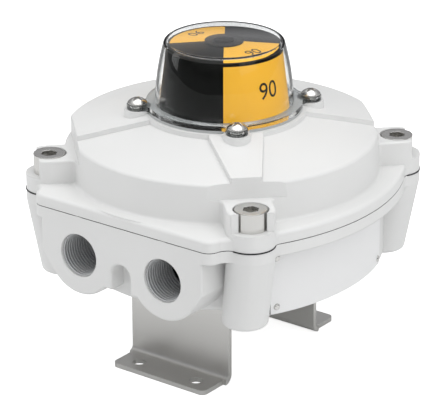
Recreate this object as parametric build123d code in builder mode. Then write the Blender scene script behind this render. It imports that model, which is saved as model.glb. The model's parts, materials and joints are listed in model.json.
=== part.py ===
"""Limit switch box for quarter-turn valve actuators, with a visual position indicator.

Frame: millimetres, +Z up along the drive shaft, origin at the centre of the pattern of
feet holes, on the plane that the feet stand on. The two cable entries face -Y.
"""
from build123d import *
import math
import os

os.makedirs("parts", exist_ok=True)

# ---------------------------------------------------------------- driving dimensions
# clearances
run_fit = 0.03          # radial, shaft in its bushes
slide_fit = 0.05        # radial, plunger in its switch
seat_fit = 0.02         # radial, a piece pressed or laid in its seat
free_gap = 0.25         # between moving and fixed faces that pass each other

# bracket: one folded strip
sheet = 2.0
bend_radius = 2.0
bracket_height = 42.0   # from the mounting plane to the seat of the housing
bracket_width = 50.8
foot_width = 48.0
foot_corner = 2.5
leg_span = 62.8         # over the outer faces of the legs
foot_span = 93.6
foot_pitch_x = 30.0
foot_pitch_y = 80.0
foot_hole_radius = 2.75

# seam outline, shared by base and lid
lug_reach = 6.33        # from the drum's foot out to the axis of a lid screw
lug_radius = 9.75
side_radius = 94.4      # bowed sides
side_lip = 4.9          # of the seam's flange beyond the drum, at the bowed sides
front_lip = 3.2         # and at the flat front
front_half_width = 46.0
seam_edge = 0.4         # rounding of both castings where they meet
front_corner_radius = 5.0
outline_blend = 4.0
lower_band = 5.0        # height of the base's flange
upper_band = 5.0        # height of the lid's flange

# base casting
pot_top_radius = 62.5
pot_depth = 34.0        # from the bracket to the seam
pot_draft = 1.0         # loss of radius from the flange down to the bottom
pot_edge = 3.0
base_wall = 5.0
floor_thickness = 4.0
pad_radius = 86.0       # flattened side pads
pad_rise = 0.5          # beyond the pot
pad_half_length = 42.0
post_lean_x = 4.8        # the posts stand further in at their feet
post_lean_y = 2.5
post_foot_radius = 9.4
post_drop = 2.0         # the posts end below the bottom of the pot
post_edge = 2.0
post_web = 13.0

# cable entries, M20 x 1.5
entry_spacing = 43.0
entry_radius = 9.19
entry_boss_radius = 17.0
entry_length = 17.7
block_half_width = 41.0
block_edge = 1.0
block_shoulder_drop = 2.0   # the block's sides close in on the bosses from here down
entry_flank_angle = 40.0
notch_radius = 4.9
notch_rise = 1.0        # top of the notch over the entries' axes

# lid casting
drum_lip = 4.0          # of the drum's foot beyond the pot
drum_draft = 0.5
seat_radius = 34.0
lid_height = 31.3       # from the seam to the dome's seat
cone_slope = 0.27
sink_depth = 2.0        # two of the lid's sectors lie this much lower
sink_inset = 2.4        # and their wall stands this much further in
rib_inner_half = 11.0
rib_outer_half = 6.2
lug_rise = 15.0         # from the seam
ledge_inset = 1.9       # the drum is cut flat behind each screw, this far inside its sunk wall
lid_wall = 3.5
lid_edge = 1.5          # rounding of the flange's and the drum's rims
drum_blend = 1.5        # hollow rounding at the drum's foot
lug_edge = 0.8
lug_blend = 3.0         # hollow corners between the lugs and the drum
ear_radius = 5.5
ear_blend = 3.0
hub_wall = 6.0

# lid screws, M8 socket cap
lid_screw_radius = 4.0
lid_head_radius = 6.5
lid_head_height = 8.0
lid_head_gap = 0.75
lid_hex = 6.0
lid_screw_bite = 12.0   # length in the base
lid_bore_gap = 0.5
counterbore_open = 4.7  # the lug is cut flat this far outside the screw axis

# dome
dome_gasket_height = 1.2
dome_flange_height = 2.0
dome_flange_radius = 32.3
dome_ear_radius = 4.4
dome_wall = 1.2
dome_foot_radius = 28.6
dome_mid_radius = 27.4
dome_top_radius = 24.6
dome_mid_rise = 13.5
dome_top_rise = 26.0
dome_round = 2.0
dome_crown = 1.2
dome_hole_gap = 0.3
dome_screw_distance = 36.0
dome_screw_radius = 2.0
dome_head_radius = 4.0
dome_head_height = 2.4
dome_head_edge = 0.5    # height of the head's rim, under its crown
dome_screw_length = 8.0
cross_reach = 2.4       # cross recess
cross_width = 1.0
cross_depth = 1.4
washer_radius = 3.9
washer_height = 0.4

# indicator
indicator_foot_radius = 26.9
indicator_top_radius = 23.5
indicator_height = 25.0
indicator_rise = 1.6
indicator_hub_radius = 8.0
indicator_gap = 0.3     # over the dome's gasket
indicator_wall = 3.0
indicator_sleeve_radius = 9.0
indicator_web = 3.0     # over the shaft's end
indicator_screw_radius = 2.5
indicator_screw_head = 4.25
indicator_screw_head_height = 5.0
indicator_screw_length = 14.0
indicator_screw_hex = 4.0
panel_thickness = 1.0
panel_rim = 1.2         # black line left round the yellow panels
yellow_start = -54.0    # degrees, quadrant boundaries
quadrant = 90.0

# drive shaft
shaft_radius = 6.0
tongue_thickness = 4.0
tongue_length = 9.0
tongue_reach = 15.0     # tip of the tongue below the bracket's top
shaft_ring_radius = 8.5
shaft_ring_height = 1.2
shaft_ring_gap = 0.2
groove_depth = 0.9
collar_radius = 8.0
collar_height = 3.0
serration_count = 18
serration_depth = 0.6
serration_radius = 7.0
shaft_end = 13.0        # the shaft's end lies this far below the drum's edge
seal_section = 1.8      # O-ring cord diameter
hub_radius = 13.0
hub_drop = 4.0          # the hub passes down through the bracket
hub_rise = 6.0          # and stands up from the floor
bush_wall = 2.0
bush_flange_radius = 10.0
bush_flange_height = 1.5
lower_bush_length = 8.5  # in the hub
thrust_washer_height = 1.0
upper_bush_length = 6.0
upper_hub_length = 9.0
seal_bore_gap = 0.5      # the hubs' bores round the O-rings
seal_pinch = 0.1

# cams, switches and plungers
stroke = 1.5            # of a plunger over a quarter turn
cam_low_radius = 16.5
cam_height = 7.0
cam_hub_radius = 9.5
cam_hub_height = 2.5
cam_pitch = 14.0        # from one cam to the other
cam_clearance = 0.3     # collar to the lower cam
cam_ring_height = 1.2
cam_ring_radius = 9.0
cam_base_radius = 13.0
cam_overrun = 20.0      # degrees of track past each end of the quarter turn
cam_track_steps = 6
cam_knurl_count = 12
cam_knurl_radius = 0.8
spring_wire = 1.2
spring_turns = 2.5
switch_length = 27.8
switch_depth = 15.9
switch_height = 10.3
switch_distance = 20.5  # front faces, from the shaft axis
switch_hole_spacing = 22.2
switch_hole_radius = 1.55
switch_hole_inset = 10.3
plunger_radius = 1.5
plunger_length = 8.5
plunger_bore = 10.5
switch_shift = 2.8      # the plunger isn't at the middle of its switch
tag_pitch = 8.8
tag_width = 6.3
tag_thickness = 0.8
tag_length = 6.0
spacer_radius = 2.6
plate_thickness = 2.0
plate_width = 40.0
plate_tab = 12.0
plate_screw_spacing = 28.0
plate_post_radius = 5.0

# terminals and earth
strip_length = 62.0
strip_depth = 11.0
strip_height = 13.0
strip_margin = 17.5     # centre line inside the cavity's wall
terminal_count = 7
terminal_pitch = 6.4
terminal_mouth = 3.6
terminal_screw_length = 6.0
strip_step = 3.0
strip_gap = 0.6
terminal_screw_radius = 1.6
strip_foot = 3.0
strip_fixing_spacing = 54.0
small_screw_radius = 1.5
small_screw_bite = 3.0
small_head_radius = 2.8
small_head_height = 2.0
small_hex = 2.5
thread_runout = 1.0
earth_x = -36.0
earth_y = 22.0
earth_screw_radius = 2.0
earth_boss_radius = 5.0
earth_boss_rise = 4.0
earth_clamp_sheet = 1.0

# lid seal
seal_margin = 2.7       # cord's centre line outside the cavity
seal_cord_radius = 1.2
seal_groove_depth = 2.1

# name plate
plate_sheet = 0.8
name_plate_front_margin = 21.5  # its ends, inside the pot's radius
name_plate_back_margin = 34.0
name_plate_margin = 0.6 # over the bottom of the pot
name_plate_height = 26.8
rivet_inset = 2.85
rivet_radius = 1.0
rivet_head_radius = 1.4
rivet_head_height = 0.7
rivet_length = 3.0      # beyond the plate's back

# bracket screws, M5 socket cap, up through the bracket's web
bracket_screw_x = 18.0
bracket_screw_y = 20.0
bracket_boss_radius = 5.5
bracket_boss_rise = 4.0
bracket_screw_radius = 2.5
bracket_screw_bite = 5.0
bracket_hex = 4.0
bracket_hub_gap = 0.3
bracket_head_radius = 4.25
bracket_head_height = 5.0
bracket_washer_radius = 5.0
bracket_washer_height = 1.0

# ---------------------------------------------------------------- derived places
pot_bottom = bracket_height
seam_height = pot_bottom + pot_depth
seat_height = seam_height + lid_height
lug_top = seam_height + lug_rise
drum_foot_radius = pot_top_radius + drum_lip
drum_rim_radius = drum_foot_radius - drum_draft
lug_diagonal = drum_foot_radius + lug_reach
lug_offset = lug_diagonal / math.sqrt(2)    # lid screws at (+-lug_offset, +-lug_offset)
post_foot_x = lug_offset - post_lean_x
post_foot_y = lug_offset - post_lean_y
sunk_foot_radius = drum_foot_radius - sink_inset
sunk_rim_radius = drum_rim_radius - sink_inset
ledge_distance = sunk_rim_radius - ledge_inset
side_reach = drum_foot_radius + side_lip
front_reach = drum_foot_radius + front_lip
pad_reach = pot_top_radius + pad_rise
name_plate_front = name_plate_front_margin - pot_top_radius
name_plate_back = pot_top_radius - name_plate_back_margin
entry_height = pot_bottom + entry_boss_radius
block_shoulder = entry_height - block_shoulder_drop
notch_top = entry_height + notch_rise
name_plate_low = pot_bottom + name_plate_margin
name_plate_high = name_plate_low + name_plate_height
tongue_tip = pot_bottom - tongue_reach
floor_top = pot_bottom + floor_thickness
band_bottom = seam_height - lower_band
band_top = seam_height + upper_band
side_centre = side_radius - side_reach
pad_centre = pad_radius - pad_reach
rim_height = seat_height - cone_slope * (drum_rim_radius - seat_radius)
sunk_seat_height = seat_height - sink_depth
sunk_rim_height = sunk_seat_height - cone_slope * (sunk_rim_radius - seat_radius)
inner_wall_y = -front_reach + entry_length
cavity_radius = pot_top_radius - base_wall
strip_distance = cavity_radius - strip_margin
seal_line_radius = cavity_radius + seal_margin
lid_head_seat = lug_top - lid_head_height
dome_screw_offset = dome_screw_distance / math.sqrt(2)
gasket_top = seat_height + dome_gasket_height
flange_top = gasket_top + dome_flange_height
hub_bottom = pot_bottom - hub_drop
hub_top = floor_top + hub_rise
bush_radius = shaft_radius + bush_wall
bush_top = hub_top + bush_flange_height
collar_bottom = bush_top + thrust_washer_height
collar_top = collar_bottom + collar_height
lower_cam_bottom = collar_top + cam_clearance
upper_cam_bottom = lower_cam_bottom + cam_pitch
cam_ring_bottom = upper_cam_bottom + cam_height + cam_hub_height
upper_bush_bottom = seat_height - upper_hub_length
lower_switch_bottom = lower_cam_bottom + cam_height / 2 - switch_height / 2
upper_switch_bottom = lower_switch_bottom + cam_pitch
cam_rate = stroke / math.radians(quadrant)
seal_bore = shaft_radius + seal_bore_gap
indicator_bottom = gasket_top + indicator_gap
shaft_top = indicator_bottom + indicator_height - shaft_end
shaft_ring_bottom = hub_bottom - shaft_ring_height - shaft_ring_gap
lower_seal_height = hub_bottom + (hub_top - hub_bottom - lower_bush_length) / 2
upper_seal_height = seat_height - (upper_hub_length - upper_bush_length) / 2
plate_bottom = lower_switch_bottom - plate_thickness
plate_back = switch_distance + switch_depth + plate_tab
plate_screw_y = plate_back - plate_tab / 2
strip_bottom = floor_top + strip_foot
bracket_screw_spots = [(x, y) for x in (-bracket_screw_x, bracket_screw_x)
                       for y in (-bracket_screw_y, bracket_screw_y)]


# ---------------------------------------------------------------- shared outlines
def square(reach):
    """The four places (+-reach, +-reach)."""
    return [(x, y) for x in (-reach, reach) for y in (-reach, reach)]


def tube(plane, outer, inner, height, mode=Mode.ADD):
    """A plain ring standing on a plane, for the part being built."""
    with BuildSketch(plane) as ring:
        Circle(outer)
        if inner:
            Circle(inner, mode=Mode.SUBTRACT)
    extrude(ring.sketch, amount=height, mode=mode)


def level(height, x=0, y=0):
    return Plane(origin=(x, y, height))


def on_pad(y, z):
    """Plane on the surface of the name plate's pad, facing out."""
    x = math.sqrt((pad_radius + seat_fit) ** 2 - y ** 2)
    return Plane(origin=(x - pad_centre, y, z), z_dir=(x, y, 0))


rivet_planes = [on_pad(y, z) for y in (name_plate_front + rivet_inset, name_plate_back - rivet_inset)
                for z in (name_plate_low + rivet_inset, name_plate_high - rivet_inset)]


# outline of the seam: bowed sides and back, flat front, four lugs, blended corners
with BuildSketch() as seam_outline:
    with Locations((-side_centre, 0)):
        Circle(side_radius)
    for x, y in ((side_centre, 0), (0, -side_centre)):
        with Locations((x, y)):
            Circle(side_radius, mode=Mode.INTERSECT)
    with Locations((0, -front_reach)):
        Rectangle(4 * side_reach, 4 * side_reach, align=(Align.CENTER, Align.MIN), mode=Mode.INTERSECT)
    with Locations((0, -front_reach)):
        RectangleRounded(2 * front_half_width, lug_offset, front_corner_radius,
                         align=(Align.CENTER, Align.MIN))
    with Locations(*square(lug_offset)):
        Circle(lug_radius)
    offset(amount=outline_blend, kind=Kind.ARC)
    offset(amount=-outline_blend, kind=Kind.ARC)


def flange_plate(bottom, height, top_edge, bottom_edge=0):
    """Plate of the seam's outline, with its outer edges rounded."""
    with BuildPart() as plate:
        with BuildSketch(level(bottom)):
            add(seam_outline.sketch)
        extrude(amount=height)
        fillet(plate.edges().group_by(Axis.Z)[-1], top_edge)
        if bottom_edge:
            fillet(plate.edges().group_by(Axis.Z)[0], bottom_edge)
    return plate.part


def eared_disc(disc_radius, radius):
    """Outline of the dome's seat and of its flange: a disc with four ears."""
    with BuildSketch() as outline:
        Circle(disc_radius)
        with Locations(*square(dome_screw_offset)):
            Circle(radius)
        offset(amount=ear_blend, kind=Kind.ARC)
        offset(amount=-ear_blend, kind=Kind.ARC)
    return outline.sketch


# ---------------------------------------------------------------- base casting
def front_block():
    """Front block whose lower edge follows the two cable entry bosses."""
    tangent = math.radians(entry_flank_angle)
    flank = (entry_spacing / 2 + entry_boss_radius * math.cos(tangent),
             entry_height - entry_boss_radius * math.sin(tangent))
    with BuildSketch(Plane.XZ.offset(front_reach)) as front:
        with BuildLine():
            Polyline((-flank[0], flank[1]), (-block_half_width, block_shoulder),
                     (-block_half_width, band_bottom), (block_half_width, band_bottom),
                     (block_half_width, block_shoulder), flank, close=True)
        make_face()
        with Locations((-entry_spacing / 2, entry_height), (entry_spacing / 2, entry_height)):
            Circle(entry_boss_radius)
        with Locations((0, notch_top - notch_radius)):
            Circle(notch_radius, mode=Mode.SUBTRACT)
            Rectangle(2 * notch_radius, entry_boss_radius + notch_radius,
                      align=(Align.CENTER, Align.MAX), mode=Mode.SUBTRACT)
    with BuildPart() as block:
        extrude(front.sketch, amount=-(front_reach - pot_top_radius / 2))
        face_edges = block.edges().group_by(Axis.Y)[0]
        fillet(face_edges.filter_by(lambda edge: edge.center().Z < band_bottom - block_edge), block_edge)
    return block.part


def corner_post(side_x, side_y):
    """Drafted post under a lug, with its web to the pot."""
    with BuildSketch(level(pot_bottom - post_drop)) as foot:
        with Locations((side_x * post_foot_x, side_y * post_foot_y)):
            Circle(post_foot_radius)
    with BuildSketch(level(band_bottom)) as top:
        with Locations((side_x * lug_offset, side_y * lug_offset)):
            Circle(lug_radius)
    with BuildPart() as post:
        loft([foot.sketch, top.sketch])
        fillet(post.edges().group_by(Axis.Z)[0], post_edge)
    add(post.part)
    web_angle = math.degrees(math.atan2(side_y * post_foot_y, side_x * post_foot_x))
    with BuildSketch(level(pot_bottom + pot_edge)) as web:
        with Locations(Location((0, 0, 0), (0, 0, web_angle))):
            Rectangle(math.hypot(post_foot_x, post_foot_y), post_web, align=(Align.MIN, Align.CENTER))
    extrude(web.sketch, amount=band_bottom - pot_bottom - pot_edge)


with BuildPart() as housing_base:
    with BuildSketch(Plane.XZ):
        with BuildLine():
            Polyline((0, pot_bottom), (pot_top_radius - pot_draft, pot_bottom),
                     (pot_top_radius, band_bottom), (0, band_bottom), close=True)
        make_face()
    revolve(axis=Axis.Z)
    fillet(housing_base.edges().group_by(Axis.Z)[0], pot_edge)
    for side_x in (-1, 1):
        for side_y in (-1, 1):
            corner_post(side_x, side_y)
    with BuildSketch(level(pot_bottom)):
        with Locations((-pad_centre, 0)):
            Circle(pad_radius)
        with Locations((pad_centre, 0)):
            Circle(pad_radius, mode=Mode.INTERSECT)
        Rectangle(2 * pad_reach, 2 * pad_half_length, mode=Mode.INTERSECT)
    extrude(amount=band_bottom - pot_bottom)
    add(front_block())
    add(flange_plate(band_bottom, lower_band, seam_edge))
    # inside: a round cavity with a flat wall behind the cable entries
    with BuildSketch(level(floor_top)):
        Circle(cavity_radius)
        with Locations((0, inner_wall_y)):
            Rectangle(4 * cavity_radius, 4 * cavity_radius,
                      align=(Align.CENTER, Align.MIN), mode=Mode.INTERSECT)
    extrude(amount=seam_height - floor_top, mode=Mode.SUBTRACT)
    # hub for the shaft, and seats for what stands on the floor
    tube(level(hub_bottom), hub_radius, 0, hub_top - hub_bottom)
    for x, y in bracket_screw_spots:
        tube(level(floor_top, x, y), bracket_boss_radius, 0, bracket_boss_rise)
    for x in (-plate_screw_spacing / 2, plate_screw_spacing / 2):
        tube(level(floor_top, x, plate_screw_y), plate_post_radius, 0,
             plate_bottom - floor_top)
    for x in (-strip_fixing_spacing / 2, strip_fixing_spacing / 2):
        tube(level(floor_top, x, -strip_distance), strip_depth / 2, 0, strip_foot)
    tube(level(floor_top, earth_x, earth_y), earth_boss_radius, 0, earth_boss_rise)
    # bores
    tube(level(hub_bottom), seal_bore, 0, hub_top - hub_bottom, Mode.SUBTRACT)
    tube(level(hub_top - lower_bush_length), bush_radius + seat_fit, 0, lower_bush_length, Mode.SUBTRACT)
    with BuildSketch(Plane.XZ.offset(front_reach)):
        with Locations((-entry_spacing / 2, entry_height), (entry_spacing / 2, entry_height)):
            Circle(entry_radius)
    extrude(amount=-entry_length, mode=Mode.SUBTRACT)
    for x, y in square(lug_offset):
        tube(level(seam_height, x, y), lid_screw_radius + seat_fit, 0,
             -lid_screw_bite - thread_runout, Mode.SUBTRACT)
    for x, y in bracket_screw_spots:
        tube(level(pot_bottom, x, y), bracket_screw_radius + seat_fit, 0,
             bracket_screw_bite + thread_runout, Mode.SUBTRACT)
    for x in (-plate_screw_spacing / 2, plate_screw_spacing / 2):
        tube(level(plate_bottom, x, plate_screw_y), small_screw_radius + seat_fit, 0,
             -small_screw_bite - thread_runout, Mode.SUBTRACT)
    for x in (-strip_fixing_spacing / 2, strip_fixing_spacing / 2):
        tube(level(strip_bottom, x, -strip_distance),
             small_screw_radius + seat_fit, 0, -small_screw_bite, Mode.SUBTRACT)
    tube(level(floor_top + earth_boss_rise, earth_x, earth_y),
         earth_screw_radius + seat_fit, 0, -earth_boss_rise, Mode.SUBTRACT)
    tube(level(seam_height), seal_line_radius + seal_cord_radius + seat_fit,
         seal_line_radius - seal_cord_radius - seat_fit, -seal_groove_depth, Mode.SUBTRACT)
    # rivet holes of the name plate
    for spot in rivet_planes:
        tube(spot, rivet_radius + seat_fit, 0, -rivet_length - thread_runout, Mode.SUBTRACT)


# ---------------------------------------------------------------- lid casting
with BuildSketch() as sunk_sectors:
    # the front and right quarters, less the ribs that run out to the lugs
    with Locations(Location((0, 0, 0), (0, 0, -45))):
        Rectangle(2 * side_radius, 4 * side_radius, align=(Align.MIN, Align.CENTER))
    with PolarLocations(0, 4, start_angle=45):
        Polygon((0, rib_inner_half), (seat_radius, rib_inner_half), (ledge_distance, rib_outer_half),
                (side_radius, rib_outer_half), (side_radius, -rib_outer_half),
                (ledge_distance, -rib_outer_half), (seat_radius, -rib_inner_half),
                (0, -rib_inner_half), align=None, mode=Mode.SUBTRACT)

def drum_profile(foot_radius, rim_radius, middle_height):
    """Half section of the lid's drum and cone, with a rounded rim and a hollow foot."""
    edge_height = middle_height - cone_slope * (rim_radius - seat_radius)
    with BuildSketch(Plane.XZ) as section:
        with BuildLine():
            Polyline((0, seam_height), (foot_radius, seam_height), (foot_radius, band_top - lid_edge),
                     (foot_radius + 2 * drum_blend, band_top - lid_edge),
                     (foot_radius + 2 * drum_blend, band_top), (foot_radius, band_top),
                     (rim_radius, edge_height), (seat_radius, middle_height), (0, middle_height),
                     close=True)
        make_face()
        fillet(section.vertices().sort_by_distance((foot_radius, band_top))[0], drum_blend)
        fillet(section.vertices().sort_by_distance((rim_radius, edge_height))[0], lid_edge)
    return section.sketch


with BuildPart() as sector_cutter:
    with BuildSketch(level(band_top)):
        add(sunk_sectors.sketch)
    extrude(amount=seat_height)
    revolve(drum_profile(sunk_foot_radius, sunk_rim_radius, sunk_seat_height), axis=Axis.Z,
            mode=Mode.SUBTRACT)


def lug_recess(angle):
    """Flat cut in the drum, flat outer face and counterbore of one lid screw lug."""
    out = Plane(origin=(0, 0, lug_top), x_dir=Vector(1, 0, 0).rotate(Axis.Z, angle))
    with BuildSketch(out) as flat_cut:
        with Locations((ledge_distance, 0)):
            Rectangle(4 * lug_radius, 2 * drum_foot_radius, align=(Align.MIN, Align.CENTER))
    extrude(flat_cut.sketch, amount=seat_height - lug_top, mode=Mode.SUBTRACT)
    with BuildSketch(out) as recess:
        with Locations((lug_diagonal, 0)):
            Circle(lid_head_radius + lid_head_gap)
        with Locations((lug_diagonal + counterbore_open, 0)):
            Rectangle(lug_radius, 4 * lug_radius, align=(Align.MIN, Align.CENTER))
    extrude(recess.sketch, amount=-lid_head_height, mode=Mode.SUBTRACT)
    with BuildSketch(out) as bore:
        with Locations((lug_diagonal, 0)):
            Circle(lid_screw_radius + lid_bore_gap)
    extrude(bore.sketch, amount=seam_height - lug_top, mode=Mode.SUBTRACT)


with BuildPart() as lid_lugs:
    # four lugs with straight flanks, blended into a core that the drum covers
    with BuildSketch(level(seam_height)):
        with PolarLocations(0, 4, start_angle=45):
            Rectangle(lug_diagonal, 2 * lug_radius, align=(Align.MIN, Align.CENTER))
        with Locations(*square(lug_offset)):
            Circle(lug_radius)
        Circle(sunk_rim_radius - seat_fit)
        offset(amount=lug_blend, kind=Kind.ARC)
        offset(amount=-lug_blend, kind=Kind.ARC)
    extrude(amount=lug_top - seam_height)
    fillet(lid_lugs.edges().group_by(Axis.Z)[-1], lug_edge)

with BuildPart() as housing_lid:
    add(flange_plate(seam_height, upper_band, lid_edge, seam_edge))
    revolve(drum_profile(drum_foot_radius, drum_rim_radius, seat_height), axis=Axis.Z)
    add(sector_cutter.part, mode=Mode.SUBTRACT)
    with BuildSketch(level(sunk_seat_height - sink_depth)):
        add(eared_disc(seat_radius, ear_radius))
    extrude(amount=seat_height - sunk_seat_height + sink_depth)
    for x, y in square(dome_screw_offset):
        tube(level(seat_height, x, y), ear_radius, 0, dome_gasket_height)
    add(lid_lugs.part)
    # inside: a step over the seam, then the drum and the cone at an even wall
    with BuildSketch(Plane.XZ):
        with BuildLine():
            Polyline((0, seam_height), (cavity_radius, seam_height), (cavity_radius, band_top),
                     (sunk_rim_radius - lid_wall, band_top + lid_wall),
                     (sunk_rim_radius - lid_wall, sunk_rim_height - lid_wall),
                     (seat_radius, sunk_seat_height - lid_wall),
                     (bush_radius + hub_wall, sunk_seat_height - lid_wall),
                     (bush_radius + hub_wall, upper_bush_bottom), (0, upper_bush_bottom), close=True)
        make_face()
    revolve(axis=Axis.Z, mode=Mode.SUBTRACT)
    for angle in (45, 135, 225, 315):
        lug_recess(angle)
    tube(level(upper_bush_bottom), bush_radius + seat_fit, 0, upper_bush_length, Mode.SUBTRACT)
    tube(level(upper_bush_bottom), seal_bore, 0, upper_hub_length, Mode.SUBTRACT)
    for x, y in square(dome_screw_offset):
        tube(level(gasket_top, x, y), dome_screw_radius + seat_fit, 0,
             flange_top + washer_height - dome_screw_length - thread_runout - gasket_top, Mode.SUBTRACT)

with BuildPart() as lid_seal:
    with BuildSketch(Plane.XZ):
        with Locations((seal_line_radius, seam_height - seal_groove_depth / 2)):
            Circle(seal_cord_radius)
            # the lid and the groove's floor press the cord flat
            Rectangle(2 * seal_cord_radius, seal_groove_depth, mode=Mode.INTERSECT)
    revolve(axis=Axis.Z)


def cap_screw(spot, radius, head_radius, head_height, length, hex_size):
    """Socket cap screw; spot is the plane under its head, facing the head's side."""
    tube(spot, head_radius, 0, head_height)
    tube(spot, radius, 0, -length)
    with BuildSketch(spot.offset(head_height)) as socket:
        RegularPolygon(hex_size / 2, 6, major_radius=False)
    extrude(socket.sketch, amount=-head_height / 2, mode=Mode.SUBTRACT)


with BuildPart() as lid_screws:
    for x, y in square(lug_offset):
        cap_screw(level(lid_head_seat, x, y), lid_screw_radius, lid_head_radius, lid_head_height,
                  lid_head_seat - seam_height + lid_screw_bite, lid_hex)

# ---------------------------------------------------------------- dome and indicator
def dome_outline(inset):
    """Half section of the dome's outside, or of its inside when inset by the wall."""
    top = flange_top + dome_top_rise - inset
    with BuildSketch(Plane.XZ) as outline:
        with BuildLine():
            ThreePointArc((dome_foot_radius - inset, flange_top),
                          (dome_mid_radius - inset, flange_top + dome_mid_rise),
                          (dome_top_radius - inset, top))
            TangentArc((0, top + dome_crown), (dome_top_radius - inset, top), tangent=(1, 0))
            Polyline((0, top + dome_crown), (0, gasket_top), (dome_foot_radius - inset, gasket_top),
                     (dome_foot_radius - inset, flange_top))
        make_face()
        fillet(outline.vertices().sort_by(lambda point: point.X + point.Y)[-1], dome_round - inset)
    return outline.sketch


with BuildPart() as dome:
    revolve(dome_outline(0), axis=Axis.Z)
    revolve(dome_outline(dome_wall), axis=Axis.Z, mode=Mode.SUBTRACT)
    with BuildSketch(level(gasket_top)):
        add(eared_disc(dome_flange_radius, dome_ear_radius))
        Circle(dome_foot_radius - dome_wall, mode=Mode.SUBTRACT)
        with Locations(*square(dome_screw_offset)):
            Circle(dome_screw_radius + dome_hole_gap, mode=Mode.SUBTRACT)
    extrude(amount=dome_flange_height)

with BuildPart() as dome_gasket:
    with BuildSketch(level(seat_height)):
        Circle(dome_flange_radius)
        Circle(dome_foot_radius - dome_wall, mode=Mode.SUBTRACT)
        # hollows round the seats of the dome's ears
        with Locations(*square(dome_screw_offset)):
            Circle(ear_radius + seat_fit, mode=Mode.SUBTRACT)
    extrude(amount=dome_gasket_height)

with BuildPart() as dome_washers:
    for x, y in square(dome_screw_offset):
        tube(level(flange_top, x, y), washer_radius, dome_screw_radius + seat_fit, washer_height)

def pan_section(x, y):
    """Half section of a dome screw's head, beside the screw's axis."""
    seat = flange_top + washer_height
    crown = seat + dome_head_height
    with BuildSketch(Plane(origin=(x, y, 0), x_dir=(1, 0, 0), z_dir=(0, -1, 0))) as section:
        with BuildLine():
            Polyline((0, crown), (0, seat), (dome_head_radius, seat),
                     (dome_head_radius, seat + dome_head_edge))
            TangentArc((0, crown), (dome_head_radius, seat + dome_head_edge), tangent=(1, 0))
        make_face()
    return section.sketch


with BuildPart() as dome_screws:
    for x, y in square(dome_screw_offset):
        head = level(flange_top + washer_height, x, y)
        tube(head, dome_screw_radius, 0, -dome_screw_length)
        revolve(pan_section(x, y), axis=Axis((x, y, 0), (0, 0, 1)))
        with BuildSketch(head.offset(dome_head_height)) as cross:
            for turn in (0, 90):
                SlotOverall(2 * cross_reach, cross_width, rotation=turn)
        extrude(cross.sketch, amount=-cross_depth, mode=Mode.SUBTRACT)


def drum_section(inset, bottom, top_drop):
    """Half section of the indicator drum, set in by a skin's thickness."""
    lean = (indicator_foot_radius - indicator_top_radius) / indicator_height
    edge = indicator_bottom + indicator_height - top_drop
    edge_radius = indicator_top_radius - inset + lean * top_drop
    with BuildSketch(Plane.XZ) as section:
        with BuildLine():
            Polyline((0, bottom), (indicator_foot_radius - inset, bottom), (edge_radius, edge),
                     (0, edge + indicator_rise), close=True)
        make_face()
    return section.sketch


with BuildSketch(level(indicator_bottom)) as yellow_quadrants:
    with PolarLocations(0, 2, start_angle=yellow_start):
        Rectangle(2 * indicator_foot_radius, 2 * indicator_foot_radius, align=(Align.MIN, Align.MIN))

with BuildPart() as indicator_side_panels:
    revolve(drum_section(0, indicator_bottom, 0), axis=Axis.Z)
    revolve(drum_section(panel_thickness, indicator_bottom, 0), axis=Axis.Z, mode=Mode.SUBTRACT)
    extrude(yellow_quadrants.sketch, amount=indicator_height - panel_rim, mode=Mode.INTERSECT)

with BuildPart() as indicator_top_sectors:
    revolve(drum_section(0, indicator_bottom, 0), axis=Axis.Z)
    revolve(drum_section(0, indicator_bottom, panel_thickness), axis=Axis.Z, mode=Mode.SUBTRACT)
    with BuildSketch(level(indicator_bottom)):
        Circle(indicator_top_radius - panel_rim)
        Circle(indicator_hub_radius, mode=Mode.SUBTRACT)
        add(yellow_quadrants.sketch.moved(Location((0, 0, -indicator_bottom))), mode=Mode.INTERSECT)
    extrude(amount=indicator_height + indicator_rise, mode=Mode.INTERSECT)

with BuildPart() as indicator_drum:
    revolve(drum_section(0, indicator_bottom, 0), axis=Axis.Z)
    tube(level(indicator_bottom + indicator_height), indicator_hub_radius, 0, indicator_rise)
    revolve(drum_section(indicator_wall, indicator_bottom, indicator_wall), axis=Axis.Z, mode=Mode.SUBTRACT)
    tube(level(indicator_bottom), indicator_sleeve_radius, 0, indicator_height)
    tube(level(indicator_bottom), shaft_radius + seat_fit, 0, shaft_top - indicator_bottom, Mode.SUBTRACT)
    tube(level(indicator_bottom), indicator_screw_radius + seat_fit, 0,
         indicator_height + indicator_rise, Mode.SUBTRACT)
    tube(level(shaft_top + indicator_web), indicator_screw_head + free_gap, 0,
         indicator_height + indicator_rise, Mode.SUBTRACT)
    add(indicator_side_panels.part, mode=Mode.SUBTRACT)
    add(indicator_top_sectors.part, mode=Mode.SUBTRACT)

with BuildPart() as indicator_screw:
    cap_screw(level(shaft_top + indicator_web), indicator_screw_radius, indicator_screw_head,
              indicator_screw_head_height, indicator_screw_length, indicator_screw_hex)

# ---------------------------------------------------------------- drive shaft and its bearings
def seal_ring(height):
    """O-ring in a shaft groove, centred at a height."""
    centre = seal_bore - seal_pinch - seal_section / 2
    with BuildSketch(Plane.XZ) as ring:
        with Locations((centre, height)):
            Circle(seal_section / 2)
    revolve(ring.sketch, axis=Axis.Z)


def shaft_groove(bottom, width, floor_radius):
    tube(level(bottom), 2 * shaft_radius, floor_radius, width, Mode.SUBTRACT)


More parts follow.
